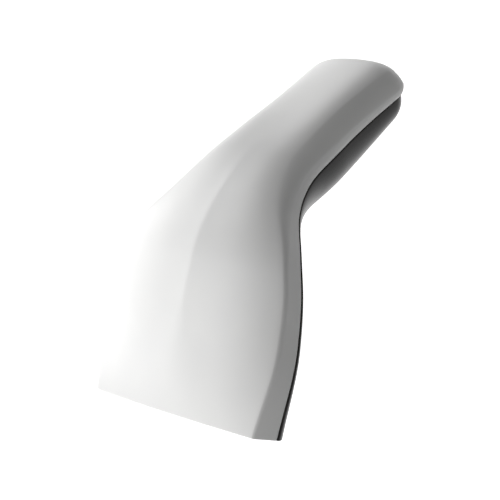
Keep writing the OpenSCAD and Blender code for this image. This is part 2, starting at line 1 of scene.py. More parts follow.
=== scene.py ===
"""Looks of a handheld contact barcode scanner: white upper casing, glossy black lower casing.

Lengths are in millimetres inside this script, and turn to metres where a mesh is made. Like the CAD
part, the casing is worked out along its centre line: s is the station, measured from the mouth
toward the grip's end, and each section has x across and z upward from the parting line.
"""
import json
import math

import bmesh
import bpy
import numpy as np
from mathutils import Matrix, Vector


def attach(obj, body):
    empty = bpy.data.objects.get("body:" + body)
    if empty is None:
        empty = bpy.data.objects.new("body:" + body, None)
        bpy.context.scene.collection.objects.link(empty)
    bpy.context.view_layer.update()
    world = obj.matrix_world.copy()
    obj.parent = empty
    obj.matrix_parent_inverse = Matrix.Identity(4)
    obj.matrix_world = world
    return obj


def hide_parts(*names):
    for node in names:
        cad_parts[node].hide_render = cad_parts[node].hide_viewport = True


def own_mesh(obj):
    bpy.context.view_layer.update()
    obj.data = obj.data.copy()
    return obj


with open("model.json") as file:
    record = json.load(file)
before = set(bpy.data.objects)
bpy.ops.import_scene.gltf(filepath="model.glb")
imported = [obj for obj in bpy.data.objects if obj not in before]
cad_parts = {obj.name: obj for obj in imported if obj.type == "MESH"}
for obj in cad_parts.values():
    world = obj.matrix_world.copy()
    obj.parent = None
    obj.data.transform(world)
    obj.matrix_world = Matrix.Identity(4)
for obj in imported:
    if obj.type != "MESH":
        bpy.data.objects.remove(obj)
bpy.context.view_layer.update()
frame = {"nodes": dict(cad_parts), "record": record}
MM = 0.001

# --- centre line and sections, the same as the CAD part's ---
# HEAD_LENGTH to CAP_LENGTH and CREASE_HALF to SIDE_DROP come from a least-squares fit in another program.
# They were rounded, and a few were changed a little.
HEAD_LENGTH = 45.5
BEND_RADIUS = 41.5
BEND_ANGLE = math.radians(51)
GRIP_LENGTH = 51.5
CAP_LENGTH = 10.5
CAP_POWER = 2.2
GRIP_START = HEAD_LENGTH + BEND_RADIUS * BEND_ANGLE
FULL_LENGTH = GRIP_START + GRIP_LENGTH
STATIONS = np.array([0, 27, 54, (HEAD_LENGTH + GRIP_START) / 2, GRIP_START + 13.5, FULL_LENGTH])
CREASE_HALF = [35.2, 38.6, 32.4, 25.3, 18.7, 19.2]
CREASE_RISE = [8.4, 7.1, 6.2, 5.7, 5.8, 6.2]
RIDGE_RISE = [10.6, 11.3, 10, 9, 10, 12]
EDGE_HALF = [37.1, 39, 32.7, 26.9, 19.3, 16.3]
BELLY_DEPTH = [12.8, 11.8, 11.6, 14, 15, 9.4]
RIDGE_LEAN = np.radians([4, 3, 3, 3, 1, 3])
CREASE_LEAN = np.radians([6, 14, 16, 20, 44, 50])
SIDE_DROP = [4.5, 1.1]
KEEL_FLAT = [13, 1.5]
WALL = 2
PARTING_GAP = 0.15


def turn_at(s):
    return np.clip((s - HEAD_LENGTH) / BEND_RADIUS, 0, BEND_ANGLE)


def centre(s):
    """[y, z] of the centre line at station s, in the head's own frame."""
    past = np.maximum(0, s - GRIP_START)
    turn = turn_at(s)
    return (np.minimum(s, HEAD_LENGTH) + BEND_RADIUS * np.sin(turn) + past * math.cos(BEND_ANGLE),
            -BEND_RADIUS * (1 - np.cos(turn)) - past * math.sin(BEND_ANGLE))


# The scan_face mount lies in the mouth's plane, this far under the centre line
FACE_BELOW = 7
face = next(m for m in frame["record"]["mounts"] if m["name"] == "scan_face")
PITCH = math.asin(-face["axis"][2])
MOUTH = np.array(face["pos_m"]) / MM + FACE_BELOW * np.array([0, -math.sin(PITCH), math.cos(PITCH)])


def on_table(points):
    """Points of the head's frame, turned to how the scanner lies on a table."""
    x, y, z = np.moveaxis(np.asarray(points, float), -1, 0)
    return np.stack([x, y * math.cos(PITCH) - z * math.sin(PITCH) + MOUTH[1],
                     y * math.sin(PITCH) + z * math.cos(PITCH) + MOUTH[2]], -1)


def at_station(s, x, z, along=0.0):
    """Points x across, z upward and `along` the centre line's direction at station s."""
    turn = turn_at(np.asarray(s, float))
    y0, z0 = centre(np.asarray(s, float))
    return on_table(np.stack(np.broadcast_arrays(
        x, y0 + z * np.sin(turn) + along * np.cos(turn),
        z0 + z * np.cos(turn) - along * np.sin(turn)), -1))


def value_at(values, s):
    """A smooth value between the stations."""
    v = np.asarray(values, float)
    gap = np.diff(STATIONS)
    chord = np.diff(v) / gap
    inner = (chord[:-1] * gap[1:] + chord[1:] * gap[:-1]) / (gap[:-1] + gap[1:])
    slope = np.concatenate([chord[:1], inner, chord[-1:]])
    i = np.clip(np.searchsorted(STATIONS, s, side="right") - 1, 0, len(gap) - 1)
    h = gap[i]
    t = (s - STATIONS[i]) / h
    return ((2 * t**3 - 3 * t**2 + 1) * v[i] + (t**3 - 2 * t**2 + t) * h * slope[i]
            + (3 * t**2 - 2 * t**3) * v[i + 1] + (t**3 - t**2) * h * slope[i + 1])


def softness(s):
    """0 on the head, where the crease is sharp, to 1 on the grip, where it is round."""
    t = np.clip((s - STATIONS[2]) / (STATIONS[4] - STATIONS[2]), 0, 1)
    return t * t * (3 - 2 * t)


def cap_scale(s, inset):
    u = np.maximum(0, s - FULL_LENGTH + CAP_LENGTH) / (CAP_LENGTH - inset)
    return np.sqrt(np.maximum(0, 1 - u**CAP_POWER))


def heading(angle):
    return np.stack([np.cos(angle), -np.sin(angle)], -1)


def bezier(a, b, c, d, t):
    """Points of a cubic for every row of a..d, at the same t in each row or at t's own row."""
    a, b, c, d = (p[:, None, :] for p in (a, b, c, d))
    t = np.atleast_2d(t)[..., None]
    return (1 - t)**3 * a + 3 * (1 - t)**2 * t * b + 3 * (1 - t) * t**2 * c + t**3 * d


def corner(before, tip, after, steps):
    """Points of a small round between two points either side of a tip."""
    t = np.linspace(0, 1, steps)[None, :, None]
    return ((1 - t)**2 * before[:, None] + 2 * (1 - t) * t * tip[:, None] + t**2 * after[:, None])


# How far a curve's handles reach, as a share of the distance between its ends
TOP_REACH = 0.38
SIDE_REACH = 0.36
# How wide the ridge and the crease are rounded, at the same stations
RIDGE_ROUND = [18, 2.5, 1, 1, 2, 2]
CREASE_ROUND = [0.6, 1.0, 1.6, 2.6, 4, 4]


def top_curves(s, inset):
    """The curves across the top face and down the side as points and handles, and the side's length."""
    zero = np.zeros_like(s)
    ridge = np.stack([zero, value_at(RIDGE_RISE, s) - inset], -1)
    crease = np.stack([value_at(CREASE_HALF, s) - inset, value_at(CREASE_RISE, s) - 0.8 * inset], -1)
    edge = np.stack([value_at(EDGE_HALF, s) - inset, zero], -1)
    reach = np.linalg.norm(crease - ridge, axis=-1, keepdims=True)
    drop = np.linalg.norm(edge - crease, axis=-1, keepdims=True)
    meet = value_at(CREASE_LEAN, s)
    side = np.arctan2(crease[:, 1] - edge[:, 1], edge[:, 0] - crease[:, 0])
    lead = side + (meet - side) * softness(s)
    over = ridge + TOP_REACH * reach * heading(value_at(RIDGE_LEAN, s))
    across = (ridge, over, crease - TOP_REACH * reach * heading(meet), crease)
    down = (crease, crease + SIDE_REACH * drop * heading(lead),
            edge - SIDE_REACH * drop * heading(2 * side - lead), edge)
    return across, down, drop[:, 0]


def ridge_corner(across, near):
    """Points of the round ridge, from the middle to where the curve across the top face starts."""
    start, ahead = np.moveaxis(bezier(*across, near[:, None] + np.array([0, 0.01])), 1, 0)
    slope = (start[:, 1] - ahead[:, 1]) / (ahead[:, 0] - start[:, 0])
    low = np.stack([np.zeros(len(start)), start[:, 1] + slope * start[:, 0] / 2], -1)
    return corner(low, np.stack([start[:, 0] / 2, low[:, 1]], -1), start, 9)


def top_half(s, inset):
    """Right half of the upper casing's section, from the ridge to the parting line."""
    across, down, drop = top_curves(s, inset)
    crease = across[-1]
    # The ridge and the crease are round, so the curves are cut short of them
    near = value_at(RIDGE_ROUND, s) / crease[:, 0]
    far = 1 - value_at(CREASE_ROUND, s) / crease[:, 0]
    past = np.minimum(0.4, value_at(CREASE_ROUND, s) / drop)
    crease_corner = corner(bezier(*across, far[:, None])[:, 0], crease,
                           bezier(*down, past[:, None])[:, 0], 7)
    share = np.linspace(0, 1, 24)[None, :]
    return cap_scale(s, inset)[:, None, None] * np.concatenate([
        ridge_corner(across, near)[:, :-1],
        bezier(*across, near[:, None] + (far - near)[:, None] * share[:, :-1]),
        crease_corner, bezier(*down, past[:, None] + (1 - past)[:, None] * share[:, 2::2])], 1)


def along_head(pair, s):
    """A value that goes from its first to its second entry along the head."""
    return pair[0] + (pair[1] - pair[0]) * np.minimum(1, s / STATIONS[2])


def belly_half(s, inset):
    """Right half of the lower casing's section, from the keel to the parting line."""
    zero = np.zeros_like(s)
    depth = value_at(BELLY_DEPTH, s) - inset
    edge = value_at(EDGE_HALF, s) - inset
    flat = along_head(KEEL_FLAT, s)
    drop = along_head(SIDE_DROP, s) * (1 - softness(s)) + 0.6 * depth * softness(s)
    curve = (np.stack([flat, -depth], -1), np.stack([0.62 * edge, -depth], -1),
             np.stack([edge, -drop], -1), np.stack([edge, zero], -1))
    keel = np.stack([np.stack([share * flat, -depth], -1) for share in (0, 0.5)], 1)
    points = np.concatenate([keel, bezier(*curve, np.linspace(0, 1, 42))], 1)
    return cap_scale(s, inset)[:, None, None] * points - np.array([0, PARTING_GAP])


def belly_at(s, x, inset=0.0):
    """Height of the lower casing's surface at x, inset from its outside."""
    half = belly_half(np.array([float(s)]), inset)[0]
    return np.interp(np.abs(x), half[:, 0], half[:, 1])


def roof_at(s, x, inset=0.0):
    """Height of the upper casing's surface at x, inset from its outside."""
    half = top_half(np.array([float(s)]), inset)[0]
    return np.interp(np.abs(x), half[:, 0], half[:, 1])


# --- meshes ---
def make_object(name, vertices, faces, sharp=35):
    """An object from points in millimetres, smooth apart from edges sharper than `sharp` degrees."""
    mesh = bpy.data.meshes.new(name)
    mesh.from_pydata([tuple(v) for v in np.asarray(vertices) * MM], [], [tuple(f) for f in faces])
    bm = bmesh.new()
    bm.from_mesh(mesh)
    bmesh.ops.remove_doubles(bm, verts=bm.verts, dist=1e-7)
    bmesh.ops.dissolve_degenerate(bm, edges=bm.edges, dist=1e-8)
    bmesh.ops.recalc_face_normals(bm, faces=bm.faces)
    bm.to_mesh(mesh)
    bm.free()
    obj = bpy.data.objects.new(name, mesh)
    bpy.context.scene.collection.objects.link(obj)
    shade(obj, sharp)
    return obj


def shade(obj, sharp=35):
    obj.data.polygons.foreach_set("use_smooth", [True] * len(obj.data.polygons))
    obj.data.set_sharp_from_angle(angle=math.radians(sharp))


def loop_faces(first, second, closed=True):
    """Quads between two rows of point numbers."""
    n = len(first)
    return [(first[j], first[(j + 1) % n], second[(j + 1) % n], second[j])
            for j in range(n if closed else n - 1)]


EDGE_ROUND = 0.35
ROUND_STEPS = 4


def both_sides(half):
    mirrored = half[:, :0:-1] * np.array([-1, 1])
    return np.concatenate([mirrored, half], 1)


def shell_stations(inset):
    body = np.linspace(0, FULL_LENGTH - CAP_LENGTH, 112)[:-1]
    body = np.concatenate([[0, 0.45], body[1:]])
    cap = FULL_LENGTH - CAP_LENGTH + (CAP_LENGTH - inset) * np.sin(np.radians(np.linspace(0, 90, 26)))
    return np.concatenate([body, cap])


def unit(v):
    return v / np.maximum(np.linalg.norm(v, axis=-1, keepdims=True), 1e-9)


def wall_rings(half):
    """The outside and the inside of a casing half, each as one ring of points per station."""
    rings = []
    for inset in (0.0, WALL):
        s = shell_stations(inset)
        section = both_sides(half(s, inset))
        rings.append(at_station(s[:, None], section[..., 0], section[..., 1]))
    return rings


def parting_round(outer, inner, column, step):
    """Rows that round the wall's outer edge along the parting line, on the side where column lies."""
    tip = outer[:, column]
    side = outer[:, column + step] - tip
    across = inner[:, column] - tip
    r = np.minimum(EDGE_ROUND, 0.7 * np.linalg.norm(side, axis=-1, keepdims=True))
    r = np.minimum(r, 0.3 * np.linalg.norm(across, axis=-1, keepdims=True))
    return [tip + r * (1 - math.sin(a)) * unit(side) + r * (1 - math.cos(a)) * unit(across)
            for a in np.linspace(0, math.pi / 2, ROUND_STEPS + 1)]


def mouth_round(first, second, middle):
    """Rings that round the mouth's edge, from the middle of the wall out to its surfaces."""
    inward = unit(middle - first)
    ahead = unit(second - first)
    return [first + EDGE_ROUND * ((1 - math.sin(a)) * ahead + (1 - math.cos(a)) * inward)
            for a in np.linspace(math.pi / 2, 0, ROUND_STEPS + 1)]


def mouth_faces(front, m):
    """Faces across the wall's thickness at the mouth, for a ring with m points on its outside."""
    inner_start = m + ROUND_STEPS
    faces = [(front[j], front[j + 1], front[inner_start + m - 2 - j], front[inner_start + m - 1 - j])
             for j in range(m - 1)]
    faces.append(tuple(front[m - 1:inner_start + 1]))
    faces.append((front[0],) + tuple(front[:inner_start + m - 2:-1]))
    return faces


def casing(name, half):
    """One casing half as a wall with round edges: its section is a closed loop, lofted along s."""
    outer, inner = wall_rings(half)
    m = outer.shape[1]
    left = parting_round(outer, inner, 0, 1)
    right = parting_round(outer, inner, m - 1, -1)
    outer = outer.copy()
    outer[:, 0], outer[:, m - 1] = left[0], right[0]
    loop = np.concatenate([outer, np.stack(right[1:], 1), inner[:, ::-1], np.stack(left[:0:-1], 1)], 1)
    mid = (outer[0] + inner[0]) / 2
    middle = np.concatenate([mid, np.repeat(mid[m - 1:], ROUND_STEPS, 0), mid[::-1],
                             np.repeat(mid[:1], ROUND_STEPS, 0)])
    points = np.concatenate([np.stack(mouth_round(loop[0], loop[1], middle)), loop[1:]])
    index = np.arange(points.shape[0] * loop.shape[1]).reshape(len(points), -1)
    faces = [f for a, b in zip(index[:-1], index[1:]) for f in loop_faces(a, b)]
    return make_object(name, points.reshape(-1, 3), faces + mouth_faces(index[0], m))


def cut(obj, cutters):
    """Cuts closed shapes out of a piece, and removes them."""
    for tool in cutters:
        mod = obj.modifiers.new("cut", "BOOLEAN")
        mod.object = tool
        mod.operation = "DIFFERENCE"
        mod.solver = "MANIFOLD"
    bpy.context.view_layer.update()
    result = bpy.data.meshes.new_from_object(obj.evaluated_get(bpy.context.evaluated_depsgraph_get()))
    obj.modifiers.clear()
    old, obj.data = obj.data, result
    result.name = obj.name
    bpy.data.meshes.remove(old)
    for tool in cutters:
        bpy.data.objects.remove(tool)
    shade(obj)


def rounded_outline(width, height, radius, steps=6):
    """A rectangle with round corners, as points in order round it."""
    points = []
    for k, (cx, cz) in enumerate(((1, 1), (-1, 1), (-1, -1), (1, -1))):
        for a in np.linspace(0, math.pi / 2, steps + 1):
            angle = a + k * math.pi / 2
            points.append((cx * (width / 2 - radius) + radius * math.cos(angle),
                           cz * (height / 2 - radius) + radius * math.sin(angle)))
    return np.array(points)


def skin(name, rings, closed_loop=False, sharp=35):
    """A solid over rings of points, capped at both ends or joined from the last ring to the first."""
    points = np.concatenate(rings)
    index = np.arange(len(points)).reshape(len(rings), -1)
    faces = [f for a, b in zip(index[:-1], index[1:]) for f in loop_faces(a, b)]
    if closed_loop:
        faces += loop_faces(index[-1], index[0])
    else:
        faces += [tuple(index[0][::-1]), tuple(index[-1])]
    return make_object(name, points, faces, sharp)


def turned(name, place, profile, steps=40, closed_loop=False):
    """A turned solid: profile is [(radius, height)], and place maps local x, y, z to the table."""
    angles = np.linspace(0, 2 * math.pi, steps, endpoint=False)
    rings = [place(r * np.cos(angles), r * np.sin(angles), np.full(steps, float(h)))
             for r, h in profile]
    return skin(name, rings, closed_loop)


def block(name, place, size, low, high, radius=0.4, chamfer=0.15):
    """A block with round corners and chamfered ends, between two heights."""
    rings = []
    for h, inset in ((low, chamfer), (low + chamfer, 0), (high - chamfer, 0), (high, chamfer)):
        outline = rounded_outline(size[0] - 2 * inset, size[1] - 2 * inset, radius)
        rings.append(place(outline[:, 0], outline[:, 1], np.full(len(outline), float(h))))
    return skin(name, rings)


def upright(s, x=0.0, z=0.0, y=0.0):
    """Local x across, y along the centre line and z upward, at station s."""
    return lambda px, py, pz: at_station(s, x + px, z + pz, y + py)


def hanging(s, x=0.0, z=0.0, y=0.0):
    """As upright, with local z downward."""
    return lambda px, py, pz: at_station(s, x + px, z - pz, y - py)


def facing_back(s, x=0.0, z=0.0, y=0.0):
    """Local z along the centre line toward the grip."""
    return lambda px, py, pz: at_station(s, x + px, z + py, y + pz)


def facing_front(s, x=0.0, z=0.0, y=0.0):
    """Local z along the centre line toward the mouth."""
    return lambda px, py, pz: at_station(s, x + px, z + py, y - pz)


def sideways(s, z=0.0):
    """Local z across the scanner."""
    return lambda px, py, pz: at_station(s, pz, z + px, py)


def join(target, parts):
    """Adds closed shapes to a piece's mesh, as further shells of the same piece."""
    bm = bmesh.new()
    bm.from_mesh(target.data)
    for part in parts:
        bm.from_mesh(part.data)
        old = part.data
        bpy.data.objects.remove(part)
        bpy.data.meshes.remove(old)
    bm.to_mesh(target.data)
    bm.free()
    shade(target)


# --- places shared with the CAD part: stations along the centre line and heights over the parting line ---
HEAD_SCREW = (24, 33)
GRIP_SCREW = (0, 107)
SCREW_R = 1.2
WELL_R = 2.7
BOSS_R = 2.9
WELL_BOSS_R = 3.4
POST_R = 2.2
BEVEL = 0.2
PILOT_GAP = 0.02
SCREW_HOLE_R = 1.5
CHASSIS_POST = (15, 41.5)
BOARD_POST = (7.5, 108)
LED_POST = (20, 13)
SENSOR_POST = (13.5, 2.6)
CLAMP_SCREW_X = 5.4
SMALL_SCREW_R = 0.8
BOSS_JOINT = -1
BOARD_TOP = -4
BOARD_UNDER = -5.6
GRIP_BOSS_JOINT = -6.2
BOSS_FLOOR = 2.6
CHASSIS_FLOOR = -4.5
LED_TOP = 5.6
LENS_Y = 34.3
SENSOR_BOARD_BACK = 19.3
TRIGGER_FRONT = 78
TRIGGER_REAR = 102
TRIGGER_HALF = 6.6
TRIGGER_PROUD = 1.2
TRIGGER_THICK = 1.2
SLOT_GAP = 0.6
PIN_STATION = 100
PIN_RISE = -12
PIN_HALF = 9.4
EAR_X = 8.5
EAR_SIZE = (2.2, 5)
EAR_TOP = -9.5
SPRING_STATION = 87
SOCKET_FRONT = FULL_LENGTH - 7
SOCKET_MID = 1.4
COLLAR = (14, 10)
PORT = (12.2, 7.8)
WINDOW = (66.8, 10.6)
WINDOW_R = 3.8
WINDOW_RISE = 0.5
WINDOW_SEAT = 2
NOSE_LENGTH = 4.8
NOSE_LIP = 1.1


def key_face(s):
    """Height of the trigger's inner face at station s."""
    return -float(value_at(BELLY_DEPTH, np.array([s]))[0]) + TRIGGER_THICK


# --- the casing halves ---
def socket_cutter():
    outline = rounded_outline(COLLAR[0] + 0.6, COLLAR[1] + 0.6, 1.5)
    place = facing_back(SOCKET_FRONT, z=SOCKET_MID)
    return skin("tool", [place(outline[:, 0], outline[:, 1], np.full(len(outline), y)) for y in (0.3, 20.0)])


def blind_boss(x, s, low, hole):
    """A boss that hangs from the roof, with a blind pilot hole from its free end."""
    top = roof_at(s, x) - WALL / 2
    pilot = SCREW_R + PILOT_GAP
    return turned("boss", upright(s, x), [
        (0, low + hole), (pilot, low + hole), (pilot, low), (BOSS_R - BEVEL, low),
        (BOSS_R, low + BEVEL), (BOSS_R, top), (0, top)])


def screw_boss(x, s, joint):
    """A boss round a screw's well, with the floor that the screw's head sits on."""
    low = float(belly_at(s, abs(x) + 2.7)) + 0.7 * WALL
    seat = joint - BOSS_FLOOR
    return turned("boss", upright(s, x), [
        (WELL_R, low), (WELL_R, seat), (SCREW_HOLE_R, seat), (SCREW_HOLE_R, joint),
        (WELL_BOSS_R - BEVEL, joint), (WELL_BOSS_R, joint - BEVEL), (WELL_BOSS_R, low)], closed_loop=True)


def post(x, s, top):
    """A post that a board or the chassis is screwed to."""
    low = belly_at(s, x) + WALL / 2
    pilot = SMALL_SCREW_R + PILOT_GAP
    hole = 3.4
    return turned("post", upright(s, x), [
        (0, top - hole), (pilot, top - hole), (pilot, top), (POST_R - BEVEL, top), (POST_R, top - BEVEL),
        (POST_R, low), (0, low)])


def well_cutter(x, s, seat):
    return turned("tool", upright(s, x), [(0, -20), (WELL_R, -20), (WELL_R, seat), (0, seat)], 48)


def slot_cutter():
    middle = (TRIGGER_FRONT + TRIGGER_REAR) / 2
    size = (2 * (TRIGGER_HALF + SLOT_GAP), TRIGGER_REAR - TRIGGER_FRONT + 2 * SLOT_GAP)
    return block("tool", upright(GRIP_START, y=middle - GRIP_START), size, -24, -9.5, 1.0, 0.05)


def seam_rib(side):
    """A thin rib in the middle of the wall, which keeps light out of the gap between the casings."""
    corners = []
    low, high = -0.9 * PARTING_GAP, 0.1
    for inset, heights in ((0.35 * WALL, (high, low)), (0.65 * WALL, (low, high))):
        s = shell_stations(inset)[2:]
        x = (value_at(EDGE_HALF, s) - inset) * cap_scale(s, inset)
        corners += [at_station(s, side * x, np.full_like(s, z)) for z in heights]
    beside_socket = x > COLLAR[0] / 2 + 1
    return skin("rib", list(np.stack(corners, 1)[beside_socket]))


def upper_casing():
    piece = casing("upper_casing", top_half)
    cut(piece, [socket_cutter()])
    bosses = [blind_boss(x * HEAD_SCREW[0], HEAD_SCREW[1], BOSS_JOINT, 6) for x in (-1, 1)]
    bosses.append(blind_boss(*GRIP_SCREW, GRIP_BOSS_JOINT, 8))
    join(piece, bosses + [seam_rib(side) for side in (-1, 1)])
    return piece


def lower_casing():
    piece = casing("lower_casing", belly_half)
    tools = [well_cutter(x * HEAD_SCREW[0], HEAD_SCREW[1], BOSS_JOINT - BOSS_FLOOR) for x in (-1, 1)]
    tools += [well_cutter(*GRIP_SCREW, GRIP_BOSS_JOINT - BOSS_FLOOR), slot_cutter(), socket_cutter()]
    cut(piece, tools)
    inner = [screw_boss(x * HEAD_SCREW[0], HEAD_SCREW[1], BOSS_JOINT - 0.05) for x in (-1, 1)]
    inner.append(screw_boss(*GRIP_SCREW, GRIP_BOSS_JOINT - 0.05))
    for x in (-1, 1):
        inner.append(post(x * CHASSIS_POST[0], CHASSIS_POST[1], CHASSIS_FLOOR - 0.05))
        inner.append(post(x * BOARD_POST[0], BOARD_POST[1], BOARD_UNDER - 0.05))
        inner.append(block("ear", upright(PIN_STATION, x * EAR_X), EAR_SIZE,
                           float(belly_at(PIN_STATION, EAR_X)) + WALL / 2, EAR_TOP))
    join(piece, inner)
    return piece


# --- mouth frame: a lip round the window's opening, with a seat for the window behind it ---
def denser(outline, gap):
    """A closed outline with extra points, so that none are further apart than gap."""
    after = np.roll(outline, -1, 0)
    rows = []
    for p, q in zip(outline, after):
        n = max(1, math.ceil(np.linalg.norm(q - p) / gap))
        rows.append(p + (q - p) * np.linspace(0, 1, n, endpoint=False)[:, None])
    return np.concatenate(rows)


def seen_from(outline, centre_z, angles):
    """Points of an outline at the given angles round (0, centre_z)."""
    fine = denser(outline, 0.2) - np.array([0, centre_z])
    bearing = np.arctan2(fine[:, 1], fine[:, 0])
    reach = np.interp(angles, bearing, np.linalg.norm(fine, axis=1), period=2 * math.pi)
    return reach[:, None] * np.stack([np.cos(angles), np.sin(angles)], -1) + np.array([0, centre_z])


def grown(ring, amount):
    """A closed ring moved outward along its own normals."""
    along = unit(np.roll(ring, -1, 0) - np.roll(ring, 1, 0))
    return ring + amount * np.stack([along[:, 1], -along[:, 0]], -1)


def mouth_frame():
    mouth = np.array([0.0])
    inset = WALL + 0.25
    upper = both_sides(top_half(mouth, inset))[0]
    lower = both_sides(belly_half(mouth, inset))[0]
    outer = np.concatenate([upper, lower[::-1]])[::-1]
    opening = rounded_outline(WINDOW[0] - 2 * NOSE_LIP, WINDOW[1] - 2 * NOSE_LIP, WINDOW_R - NOSE_LIP)
    seat = rounded_outline(WINDOW[0] + 0.2, WINDOW[1] + 0.2, WINDOW_R + 0.1)
    raised = np.array([0, WINDOW_RISE])
    dense = denser(opening, 2.5)
    angles = np.arctan2(dense[:, 1], dense[:, 0])
    outer, opening, seat = (seen_from(ring, WINDOW_RISE, angles)
                            for ring in (outer, opening + raised, seat + raised))
    lip = 0.45
    quarter = np.linspace(0, math.pi / 2, 6)
    rows = [(outer, NOSE_LENGTH)]
    rows += [(grown(outer, -lip * (1 - math.cos(a))), lip * (1 - math.sin(a))) for a in quarter]
    rows += [(grown(opening, lip * (1 - math.sin(a))), lip * (1 - math.cos(a))) for a in quarter]
    rows += [(opening, WINDOW_SEAT), (seat, WINDOW_SEAT), (seat, NOSE_LENGTH)]
    rings = [at_station(0, ring[:, 0], ring[:, 1], y) for ring, y in rows]
    return skin("mouth_frame", rings, closed_loop=True)


# --- trigger: a key with finger grooves, its pivot barrel and its stop ---
def groove_depth(s, x):
    """Depth of the finger grooves across the front part of the key."""
    pitch, first, count = 2.6, 81.2, 5
    turn = (s - first) / pitch
    if not 0 <= turn <= count:
        return np.zeros_like(x)
    fade = np.clip(1 - (np.abs(x) / (TRIGGER_HALF - 1.2))**6, 0, 1)
    return 0.4 * math.sin(math.pi * turn)**2 * fade


def trigger_ring(s, lift):
    """The key's section at station s, with its outer face raised by lift at the rounded ends."""
    edge = 0.8
    flat = np.linspace(-(TRIGGER_HALF - edge), TRIGGER_HALF - edge, 23)
    low = belly_at(s, flat) - TRIGGER_PROUD + groove_depth(s, flat) + lift
    quarter = np.linspace(0, math.pi / 2, 6)[1:]
    side_x = TRIGGER_HALF - edge + edge * np.sin(quarter)
    side_z = belly_at(s, side_x) - TRIGGER_PROUD + lift + edge * (1 - np.cos(quarter))
    top = max(key_face(s), side_z[-1] + 0.1)
    x = np.concatenate([-side_x[::-1], flat, side_x, [TRIGGER_HALF, -TRIGGER_HALF]])
    z = np.concatenate([side_z[::-1], low, side_z, [top, top]])
    return at_station(s, x, z)


def trigger_key():
    end = 0.9
    quarter = np.linspace(0, math.pi / 2, 7)
    front = [(TRIGGER_FRONT + end * (1 - math.sin(a)), end * (1 - math.cos(a))) for a in quarter[::-1]]
    rear = [(TRIGGER_REAR - end * (1 - math.sin(a)), end * (1 - math.cos(a))) for a in quarter]
    middle = [(s, 0.0) for s in np.linspace(TRIGGER_FRONT + end, TRIGGER_REAR - end, 90)[1:-1]]
    rows = front + middle + rear[::-1]
    piece = skin("trigger_key", [trigger_ring(s, lift) for s, lift in sorted(rows)])
    face = key_face(TRIGGER_FRONT)
    barrel = turned("barrel", sideways(PIN_STATION, PIN_RISE), [
        (1.05, -6.3), (1.05, 6.3), (2.0, 6.3), (2.2, 6.1), (2.2, -6.1), (2.0, -6.3)], closed_loop=True)
    stop = block("stop", upright(TRIGGER_FRONT, y=1.5), (9, 2), face - 0.4, face + 1.4)
    tab = block("tab", upright(TRIGGER_FRONT), (9, 4), face + 1.0, face + 2.2)
    join(piece, [barrel, stop, tab])
    return piece


def hinge_pin():
    return turned("hinge_pin", sideways(PIN_STATION, PIN_RISE), [
        (0, -PIN_HALF), (0.75, -PIN_HALF), (1, 0.25 - PIN_HALF), (1, PIN_HALF - 0.25), (0.75, PIN_HALF),
        (0, PIN_HALF)])


# --- return spring: a helix whose end coils lie close ---
SPRING_R = 1.7
SPRING_WIRE = 0.22
SPRING_LOW = key_face(SPRING_STATION) + SPRING_WIRE + 0.1
SPRING_HIGH = BOARD_UNDER - SPRING_WIRE - 0.05


def return_coil():
    turns, close_turns, steps = 7, 0.9, 300
    share = np.linspace(0, 1, steps)
    dead = close_turns * 2 * SPRING_WIRE / (SPRING_HIGH - SPRING_LOW)
    turn = turns * share
    rise = np.interp(turn, [0, close_turns, turns - close_turns, turns], [0, dead, 1 - dead, 1])
    place = upright(SPRING_STATION)
    wire = np.linspace(0, 2 * math.pi, 12, endpoint=False)
    rings = []
    for a, h in zip(2 * math.pi * turn, SPRING_LOW + (SPRING_HIGH - SPRING_LOW) * rise):
        r = SPRING_R + SPRING_WIRE * np.cos(wire)
        rings.append(place(r * math.cos(a), r * math.sin(a), h + SPRING_WIRE * np.sin(wire)))
    return skin("return_coil", rings)


# --- screws: one pan head form with a cross recess, placed where the CAD part has them ---
def flat_place(px, py, pz):
    return np.stack(np.broadcast_arrays(px, py, pz), -1).astype(float)


def screw_form(radius, length, head_r, head_h):
    """Points in millimetres and faces of a screw; its head's seat is at z 0, its tip at z length."""
    form = turned("form", flat_place, [
        (0, -head_h), (0.45 * head_r, -0.98 * head_h), (0.75 * head_r, -0.85 * head_h),
        (0.92 * head_r, -0.6 * head_h), (head_r, -0.3 * head_h), (head_r, 0), (radius, 0),
        (radius, length - 0.7 * radius), (0.45 * radius, length), (0, length)], 36)
    tools = []
    for size in ((1.25 * head_r, 0.26 * head_r), (0.26 * head_r, 1.25 * head_r)):
        tools.append(block("tool", flat_place, size, -head_h - 0.5, -0.45 * head_h, 0.02, 0.01))
    cut(form, tools)
    points = np.array([v.co for v in form.data.vertices]) / MM
    faces = [tuple(p.vertices) for p in form.data.polygons]
    old = form.data
    bpy.data.objects.remove(form)
    bpy.data.meshes.remove(old)
    return points, faces


def screws(name, groups):
    """One piece from [(screw_form arguments, places)]."""
    points, faces = [], []
    for form, places in groups:
        shape, shape_faces = screw_form(*form)
        for place in places:
            start = sum(len(p) for p in points)
            points.append(place(*shape.T))
            faces += [tuple(start + i for i in f) for f in shape_faces]
    return make_object(name, np.concatenate(points), faces)


CASING_SCREW = (SCREW_R, 8, 2.4, 1.8)


def small_screw(length):
    return (SMALL_SCREW_R, length, 1.5, 0.9)


